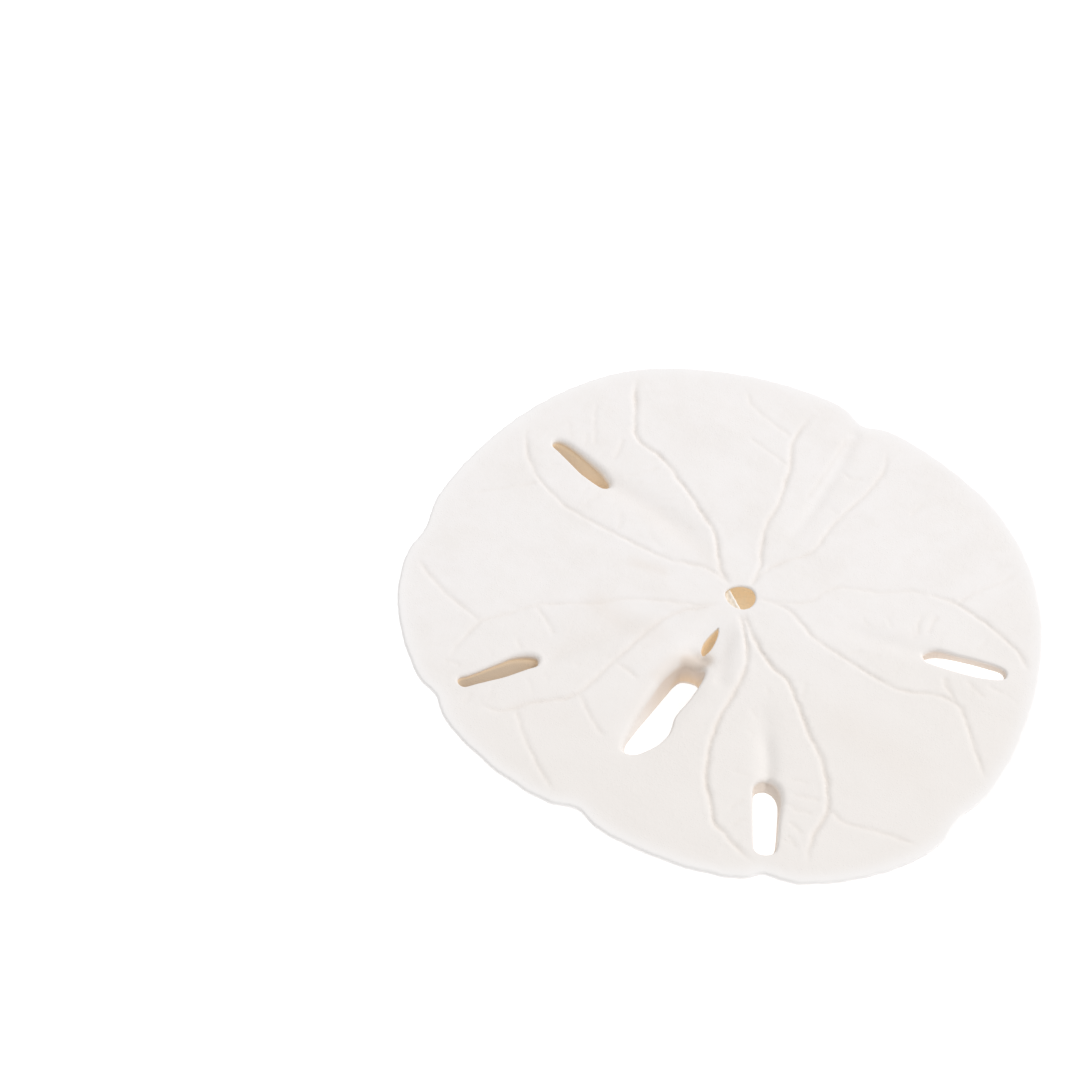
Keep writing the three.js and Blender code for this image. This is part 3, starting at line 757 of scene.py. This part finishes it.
def face_sheet(parts, outer, holes, guides, spacing, height_marks):
    """One face of the test: triangles between its outer loop and the loops of its openings. Loops are point
    numbers and places. Guides are lines, the distances of rows of points from them, and the points' step."""
    rings, loops = zip(outer, *holes)
    free = face_points(loops[0], loops[1:], guides, spacing)
    height, marks = height_marks(free)
    numbers = np.concatenate([*rings, parts.add(free, height, **marks)])
    places = np.vstack([*loops, free])
    edges = []
    for loop in loops:
        start, count = len(edges), len(loop)
        edges.extend((start + i, start + (i + 1) % count) for i in range(count))
    made = delaunay_2d_cdt([Vector(p) for p in places], edges, [], 0, 1e-7, True)
    if len(made[0]) != len(places):
        raise RuntimeError("the face's loops cross each other")
    order = np.array([source[0] for source in made[3]])
    triangles = order[np.array(made[2])]
    use = on_face(places[triangles].mean(axis=1), loops[0], loops[1:])
    parts.faces.extend(map(tuple, numbers[triangles[use]].tolist()))


def rounded_margin(parts, settings, count=640):
    """The edge of the test: a tight rounding below the oral face, then a wide one up to the aboral face.
    Returns the loops that it meets."""
    shoulder, under = settings.rim_round / MM, settings.rim_under / MM
    inner_top, inner_bottom = margin_loop(count, shoulder), margin_loop(count, under)
    top, bottom = oral_height(inner_top, settings), aboral_height(inner_bottom, settings)
    widest = top - shoulder
    rows = [(margin_loop(count, shoulder * (1 - math.sin(a))), top - shoulder * (1 - math.cos(a)))
            for a in np.linspace(0, math.pi / 2, 6)]
    rows += [(margin_loop(count, under * (1 - math.cos(a))), bottom + (widest - bottom) * (1 - math.sin(a)))
             for a in np.linspace(0, math.pi / 2, 9)[1:]]
    rings = parts.loft((flat, height, {"edge": rim_light_share(flat)}) for flat, height in rows)
    return (rings[0], inner_top), (rings[-1], inner_bottom)


def slot_walls(parts, settings, slot, count, wall_rows=8):
    """The lip and walls of a lunule, right through the test. Returns its loops on both faces."""
    opening = outline_loop(slot["oral"], count)
    outward = outline_loop(slot["oral"], count, 1) - opening
    reach = np.linalg.norm(opening - slot["oral"][0], axis=1)
    out = smooth_step(0, 0.8 * reach.max(), reach)
    lip = (slot["lips"][0] * (1 - out) + slot["lips"][1] * out) * (1 + outward @ slot["softer"])
    strength = slot["wall_stain_and_shade"][0] * (1 - out) + slot["wall_stain_and_shade"][1] * out

    def oral(grow):
        return outline_loop(slot["oral"], count, grow * lip)

    def aboral(grow):
        return outline_loop(slot["aboral"], count, grow)

    def wall_marks(flat, height):
        depth = np.minimum(top - height, 4 * (height - bottom))
        down = (top - height) / (top - bottom)
        # Stain and painted shade: the walls turn beige, tan and brown with depth below the lip, and more
        # towards their foot, where shade falls
        stain = strength * smooth_step(0.05 + 0.15 * lip, 0.6 + 0.8 * lip, depth) * (1 + slot["foot"] * down)
        thin = slot["thin"] * (1 - down) * smooth_step(0.1, 0.8, depth)
        return {"stain": np.maximum(stain, face_stain_and_shade(flat)), "thin": thin}

    above, below = oral(0.8), aboral(BACK_LIP)
    top, bottom = oral_height(above, settings), aboral_height(below, settings)
    rows = [(oral(0.8 - math.sin(a)), top - lip * (1 - math.cos(a))) for a in np.linspace(0, math.pi / 2, 7)]
    wall_top, wall_foot = rows[-1], (aboral(0), bottom + BACK_LIP)
    rows += [tuple(a * (1 - share) + b * share for a, b in zip(wall_top, wall_foot))
             for share in np.linspace(0, 1, wall_rows)[1:]]
    rows += [(aboral(BACK_LIP * (1 - math.cos(a))), bottom + BACK_LIP * (1 - math.sin(a)))
             for a in np.linspace(0, math.pi / 2, 5)[1:]]
    rings = parts.loft((flat, height, wall_marks(flat, height)) for flat, height in rows)
    return (rings[0], above), (rings[-1], below)


def rounded_lip(lip, steps):
    """How much wider and how much deeper the rows of a lip are, from the oral face down"""
    return [(lip * (0.5 - math.sin(a)), lip * (1 - math.cos(a))) for a in np.linspace(0, math.pi / 2, steps)]


def jaw_ledge(points):
    """How far down lies what the mouth shows, and its stain and painted shade: a ledge with a raised
    straight edge on one side, painted lighter as if lit and lightest on the edge, and the deep pocket on the
    other, painted darkest"""
    start, end = map(np.array, JAW_EDGE)
    along = (end - start) / np.linalg.norm(end - start)
    past = (points - start) @ np.array([-along[1], along[0]])
    ridge = np.exp(-(((past + 0.2) / 0.2) ** 2))
    ledge = JAW_DEPTH + 0.25 * np.maximum(0, -past) + 0.09 * ripple(points, 0.5, 3) - 0.16 * ridge
    deep = MOUTH["depth"] + 0.25 * ripple(points, 1.0, 4)
    drop = smooth_step(0.05, 0.35, past)
    return ledge + (deep - ledge) * drop, np.maximum(drop, 0.5 - 0.4 * ridge)


def mouth(parts, settings, count=100, floor_rows=44):
    """The mouth's lip and the pocket behind it. Returns the loop on the oral face."""
    outline, lip = MOUTH["outline"], MOUTH["lip"]
    face_loop = outline_loop(outline, count, 0.5 * lip)
    top = oral_height(face_loop, settings)
    profile = rounded_lip(lip, 6) + [(0.0, 0.6), (0.45, 0.8), (1.2, 1.05), (POCKET_GROW, 1.3)]
    # Stain and painted shade: the pocket's walls are coloured darker with depth below the lip
    rows = [(outline_loop(outline, count, grow), top - down,
             {"stain": smooth_step(0.2, 0.6, down), "thin": smooth_step(0.3, 0.8, down)})
            for grow, down in profile]
    edge = rows[-1][0]
    middle = edge.mean(axis=0)
    for share in np.linspace(0.99, 0.02, floor_rows):
        flat = middle + (edge - middle) * share
        down, stain = jaw_ledge(flat)
        down = POCKET_TOP + (down - POCKET_TOP) * smooth_step(1.0, 0.92, share)
        rows.append((flat, top.mean() - down, {"stain": stain, "thin": 0.55 + 0.45 * stain}))
    rings = parts.loft(rows)
    parts.faces.append(tuple(rings[-1].tolist()))
    return rings[0], face_loop


def periproct(parts, settings, count=60):
    """The slit-like opening behind the mouth, closed by its floor. Returns the loop on the oral face."""
    outline, lip = PERIPROCT["outline"], PERIPROCT["lip"]
    face_loop = outline_loop(outline, count, 0.5 * lip)
    top = oral_height(face_loop, settings)
    profile = rounded_lip(lip, 5)
    profile += [(-0.12, 0.7), (-0.16, 1.4), (-0.22, 2.2), (-0.32, PERIPROCT["depth"])]
    rows = []
    for grow, down in profile:
        # Stain and painted shade: the walls are coloured darker with depth below the lip
        flat, share = outline_loop(outline, count, grow), smooth_step(0.1, 0.6, down)
        stain = np.maximum(share, face_stain_and_shade(flat))
        rows.append((flat, top - down, {"stain": stain, "thin": 0.8 * share}))
    rings = parts.loft(rows)
    parts.faces.append(tuple(rings[-1].tolist()))
    return rings[0], face_loop


def build_test(settings):
    """The whole test as one closed mesh, in millimetres from the mouth"""
    parts = Parts()
    outer_top, outer_bottom = rounded_margin(parts, settings)
    walls = [slot_walls(parts, settings, slot, count) for slot, count in zip(LUNULES, SLOT_POINTS)]
    top_holes, bottom_holes = map(list, zip(*walls))
    top_holes += [mouth(parts, settings), periproct(parts, settings)]
    half = settings.groove_half / MM
    groove_guides = [(spread(curve_through(route), 200), (0, 0.55 * half, 1.15 * half, 2 * half), 0.42)
                     for strength, route in all_grooves()]
    petal_guides = [(spread(line, 120), (0, 0.25, 0.5), 0.4) for line in petal_edges()]
    spacing = settings.point_spacing / MM

    def oral_side(points):
        groove = groove_share(points, half)[0]
        marks = {"groove": groove, "stain": face_stain_and_shade(points), "edge": rim_light_share(points)}
        return oral_height(points, settings), marks

    def aboral_side(points):
        zone, place = petal_relief(points)[1:]
        marks = {"pores": zone, "pore_place": place, "edge": rim_light_share(points)}
        return aboral_height(points, settings), marks

    face_sheet(parts, outer_top, top_holes, groove_guides, spacing, oral_side)
    face_sheet(parts, outer_bottom, bottom_holes, petal_guides, spacing, aboral_side)
    return parts.mesh("bleached_test")


def fix_facing(mesh):
    """Turns every face of the closed mesh outwards."""
    work = bmesh.new()
    work.from_mesh(mesh)
    bmesh.ops.recalc_face_normals(work, faces=work.faces)
    work.to_mesh(mesh)
    work.free()


def into_frame():
    """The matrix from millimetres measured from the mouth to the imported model's frame"""
    loop = margin_loop(2000)
    middle = (loop.max(axis=0) + loop.min(axis=0)) / 2
    shift = Vector(((CAD_LOW.x + CAD_HIGH.x) / 2, (CAD_LOW.y + CAD_HIGH.y) / 2, CAD_LOW.z))
    return Matrix.Translation(shift) @ Matrix.Scale(MM, 4) @ Matrix.Translation((*-middle, 0))


# Materials


def fresh_material(name):
    """A new material, and its empty node tree"""
    material = bpy.data.materials.new(name)
    material.use_nodes = True
    material.node_tree.nodes.clear()
    return material, material.node_tree


def add_node(tree, kind, settings=None, **values):
    """A node with its properties set from `settings`, and its inputs from values or other nodes' outputs"""
    node = tree.nodes.new(kind)
    for key, value in (settings or {}).items():
        setattr(node, key, value)
    for key, value in values.items():
        socket = node.inputs[int(key[1:])] if key[1:].isdigit() else node.inputs[key.replace("_", " ")]
        if isinstance(value, bpy.types.NodeSocket):
            tree.links.new(value, socket)
        else:
            socket.default_value = value
    return node


def surface(tree, **values):
    """Ends the tree in a Principled shader with these inputs."""
    shader = add_node(tree, "ShaderNodeBsdfPrincipled", **values)
    add_node(tree, "ShaderNodeOutputMaterial", Surface=shader.outputs[0])


def mark(tree, name):
    return add_node(tree, "ShaderNodeAttribute", {"attribute_name": name}).outputs


def math_node(tree, operation, *values):
    inputs = {f"i{n}": value for n, value in enumerate(values)}
    return add_node(tree, "ShaderNodeMath", {"operation": operation}, **inputs).outputs[0]


def map_range(tree, value, low, high, to_low=0.0, to_high=1.0):
    return add_node(tree, "ShaderNodeMapRange", {"interpolation_type": "SMOOTHSTEP"}, i0=value, i1=low,
                    i2=high, i3=to_low, i4=to_high).outputs[0]


def mix_colour(tree, share, first, second):
    node = add_node(tree, "ShaderNodeMix", {"data_type": "RGBA"}, i0=share)
    for socket, value in ((node.inputs[6], first), (node.inputs[7], second)):
        if isinstance(value, bpy.types.NodeSocket):
            tree.links.new(value, socket)
        else:
            socket.default_value = (*value, 1.0)
    return node.outputs[2]


def noise(tree, where, scale, detail=2.0, roughness=0.5):
    return add_node(tree, "ShaderNodeTexNoise", Vector=where, Scale=scale, Detail=detail,
                    Roughness=roughness).outputs[0]


def toned(colour, *factors):
    return [value * factor for value, factor in zip(colour, factors)]


def calcite_colour(tree, finish, in_mm, furrow):
    """White, warmer and darker towards the back right, with soft mottling, grooves and pore slits painted
    darker as shade, a rim painted paler as light, and openings coloured by stain and painted shade
    """
    towards_back = add_node(tree, "ShaderNodeVectorMath", {"operation": "DOT_PRODUCT"}, i0=in_mm,
                            i1=WARM_SIDE).outputs[1]
    patches = noise(tree, in_mm, 0.06, 3.0)
    drift = math_node(tree, "MULTIPLY_ADD", patches, 26.0, math_node(tree, "ADD", towards_back, -13.0))
    warm_share = map_range(tree, drift, -12.0, 32.0)
    colour = mix_colour(tree, warm_share, finish.white, finish.warm)
    mottle = map_range(tree, noise(tree, in_mm, 0.5, 4.0, 0.6), 0.35, 0.7, 0.0, 0.3)
    colour = mix_colour(tree, mottle, colour, toned(finish.white, 0.965, 0.95, 0.93))
    shade = map_range(tree, noise(tree, in_mm, 0.09, 3.0, 0.55), 0.4, 0.75, 0.0, 0.35)
    colour = mix_colour(tree, shade, colour, toned(finish.warm, 0.965, 0.958, 0.95))
    # The grooves are coloured darker: partly their own tint, partly painted shade in the creases
    groove_tint_and_shade = math_node(tree, "MULTIPLY", mark(tree, "groove")["Fac"], 0.42)
    colour = mix_colour(tree, groove_tint_and_shade, colour, toned(finish.warm, 0.93, 0.88, 0.83))
    # Painted light: the margin is painted paler, as the rounded rim catches light
    pale = math_node(tree, "MULTIPLY", mark(tree, "edge")["Fac"], 0.7)
    colour = mix_colour(tree, pale, colour, finish.pale)
    # Painted shade: the pore slits are coloured darker, as shade falls in them
    colour = mix_colour(tree, math_node(tree, "MULTIPLY", furrow, 0.35), colour,
                        toned(finish.warm, 0.86, 0.82, 0.77))
    # Beige, tan and brown follow the mark of stain and painted shade
    stain = mark(tree, "stain")["Fac"]
    for low, high, stained in ((0.0, 0.6, finish.beige), (0.65, 1.0, finish.tan), (1.0, 1.5, finish.shade_brown)):
        colour = mix_colour(tree, map_range(tree, stain, low, high), colour, stained)
    return colour


def calcite_relief(tree, finish, in_mm, furrow):
    """Fine tubercles in patches, low knobs, chalky grain and the pore slits, as a surface normal"""
    dots = add_node(tree, "ShaderNodeTexVoronoi", {"feature": "F1"}, Vector=in_mm, Scale=2.3,
                    Randomness=0.85).outputs["Distance"]
    domes = map_range(tree, dots, 0.42, 0.08)
    patchy = map_range(tree, noise(tree, in_mm, 0.25, 2.0), 0.35, 0.65, 0.45, 1.0)
    tubercles = add_node(tree, "ShaderNodeBump", Strength=0.8, Distance=finish.grain,
                         Height=math_node(tree, "MULTIPLY", domes, patchy))
    knobs = add_node(tree, "ShaderNodeBump", Strength=1.0, Distance=0.05 * MM,
                     Height=math_node(tree, "MULTIPLY", noise(tree, in_mm, 0.95, 2.0, 0.55),
                                      map_range(tree, noise(tree, in_mm, 0.09, 2.0), 0.45, 0.62, 0.25, 1.0)),
                     Normal=tubercles.outputs[0])
    chalk = add_node(tree, "ShaderNodeBump", Strength=0.5, Distance=0.02 * MM,
                     Height=noise(tree, in_mm, 5.0, 4.0, 0.6), Normal=knobs.outputs[0])
    slits = add_node(tree, "ShaderNodeBump", {"invert": True}, Strength=0.8, Distance=0.12 * MM,
                     Height=furrow, Normal=chalk.outputs[0])
    return slits.outputs[0]


def calcite_material(finish):
    """Chalky white calcite, with the light that comes through the thin walls of its pockets"""
    material, tree = fresh_material("bleached_calcite")
    where = add_node(tree, "ShaderNodeTexCoord").outputs["Object"]
    in_mm = add_node(tree, "ShaderNodeVectorMath", {"operation": "SCALE"}, i0=where, Scale=1 / MM).outputs[0]
    pore_place = add_node(tree, "ShaderNodeSeparateXYZ", i0=mark(tree, "pore_place")["Vector"]).outputs
    furrow = math_node(tree, "SINE", math_node(tree, "MULTIPLY", pore_place[0], math.tau / PORE_STEP))
    furrow = math_node(tree, "MULTIPLY", map_range(tree, furrow, -0.2, 0.9), mark(tree, "pores")["Fac"])
    glow = mix_colour(tree, mark(tree, "thin")["Fac"], (0.0, 0.0, 0.0), finish.glow)
    surface(tree, Base_Color=calcite_colour(tree, finish, in_mm, furrow), Roughness=finish.roughness,
            Specular_IOR_Level=0.28, Emission_Color=glow, Emission_Strength=1.0,
            Normal=calcite_relief(tree, finish, in_mm, furrow))
    return material


def floor_material(glow):
    material, tree = fresh_material("white_floor")
    surface(tree, Base_Color=(0.93, 0.93, 0.93, 1.0), Roughness=0.9, Emission_Color=(1.0, 1.0, 1.0, 1.0),
            Emission_Strength=glow)
    return material


# Operators


def new_object(context, name, data):
    item = bpy.data.objects.new(name, data)
    context.collection.objects.link(item)
    return item


class SANDDOLLAR_OT_test(bpy.types.Operator):
    """Build the test with its relief and finish, in place of the plain solid"""
    bl_idname = "sanddollar.test"
    bl_label = "Build Test"

    def execute(self, context):
        settings, finish = context.scene.sand_dollar_test, context.scene.sand_dollar_finish
        mesh = build_test(settings)
        mesh.transform(into_frame())
        mesh.shade_smooth()
        mesh.materials.append(calcite_material(finish))
        fix_facing(mesh)
        test = new_object(context, "bleached_test", mesh)
        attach(test, "root")
        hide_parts(NODE)
        return {"FINISHED"}


class SANDDOLLAR_OT_studio(bpy.types.Operator):
    """Set the white floor, the soft light and the camera"""
    bl_idname = "sanddollar.studio"
    bl_label = "Set Studio"

    def execute(self, context):
        studio = context.scene.sand_dollar_studio
        self.floor(context, studio)
        back, right, up = self.camera(context)
        self.light(context, studio, back, right, up)
        context.scene.view_settings.view_transform = "Standard"
        context.scene.view_settings.look = "None"
        return {"FINISHED"}

    def floor(self, context, studio):
        reach = FLOOR_REACH * (CAD_HIGH.x - CAD_LOW.x)
        mesh = bpy.data.meshes.new("floor")
        corners = [(x * reach, y * reach, CAD_LOW.z) for x, y in ((-1, -1), (1, -1), (1, 1), (-1, 1))]
        mesh.from_pydata(corners, [], [(0, 1, 2, 3)])
        mesh.materials.append(floor_material(studio.floor_glow))
        new_object(context, "floor", mesh)

    def camera(self, context):
        azimuth, elevation, roll = map(math.radians, (VIEW_AZIMUTH, VIEW_ELEVATION, VIEW_ROLL))
        back = Vector((math.sin(azimuth) * math.cos(elevation), -math.cos(azimuth) * math.cos(elevation),
                       math.sin(elevation)))
        level = Vector((math.cos(azimuth), math.sin(azimuth), 0))
        up = back.cross(level)
        right = math.cos(roll) * level + math.sin(roll) * up
        up = back.cross(right)
        data = bpy.data.cameras.new("photo_view")
        data.lens = LENS
        data.sensor_width = SENSOR
        camera = new_object(context, "photo_view", data)
        mouth_at = into_frame() @ Vector((0, 0, RIM_HEIGHT - MOUTH_SINKS))
        place = mouth_at + (back * VIEW_DISTANCE - right * MOUTH_IN_VIEW[0] - up * MOUTH_IN_VIEW[1]) * MM
        camera.matrix_world = Matrix.Translation(place) @ Matrix((right, up, back)).transposed().to_4x4()
        data.clip_start, data.clip_end = 0.01, 50.0
        context.scene.camera = camera
        return back, right, up

    def light(self, context, studio, back, right, up):
        world = bpy.data.worlds.new("white_surroundings")
        world.use_nodes = True
        surroundings = world.node_tree.nodes["Background"]
        surroundings.inputs["Color"].default_value = (1.0, 1.0, 1.0, 1.0)
        surroundings.inputs["Strength"].default_value = studio.fill
        context.scene.world = world
        width = CAD_HIGH.x - CAD_LOW.x
        data = bpy.data.lights.new("key", "AREA")
        data.shape = "DISK"
        data.size = KEY_SIZE * width
        data.energy = studio.key_power
        key = new_object(context, "key", data)
        towards = (KEY_TOWARDS[0] * right + KEY_TOWARDS[1] * up + KEY_TOWARDS[2] * back).normalized()
        key.matrix_world = (Matrix.Translation(towards * KEY_AWAY * width)
                            @ towards.to_track_quat("Z", "Y").to_matrix().to_4x4())


class SANDDOLLAR_PT_panel(bpy.types.Panel):
    """Sidebar panel with the settings and the building steps"""
    bl_idname = "SANDDOLLAR_PT_panel"
    bl_label = "Sand Dollar"
    bl_space_type = "VIEW_3D"
    bl_region_type = "UI"
    bl_category = "Sand Dollar"

    def draw(self, context):
        scene = context.scene
        for group, operator in ((scene.sand_dollar_test, SANDDOLLAR_OT_test),
                                (scene.sand_dollar_finish, None),
                                (scene.sand_dollar_studio, SANDDOLLAR_OT_studio)):
            box = self.layout.box()
            for name in group.__annotations__:
                box.prop(group, name)
            if operator:
                box.operator(operator.bl_idname)


CLASSES = (TestSettings, FinishSettings, StudioSettings, SANDDOLLAR_OT_test, SANDDOLLAR_OT_studio,
           SANDDOLLAR_PT_panel)
GROUPS = {"sand_dollar_test": TestSettings, "sand_dollar_finish": FinishSettings,
          "sand_dollar_studio": StudioSettings}


def register():
    for cls in CLASSES:
        bpy.utils.register_class(cls)
    for name, group in GROUPS.items():
        setattr(bpy.types.Scene, name, PointerProperty(type=group))


def unregister():
    for name in GROUPS:
        delattr(bpy.types.Scene, name)
    for cls in reversed(CLASSES):
        bpy.utils.unregister_class(cls)


def main():
    register()
    bpy.ops.sanddollar.test()
    bpy.ops.sanddollar.studio()


if __name__ == "__main__":
    main()
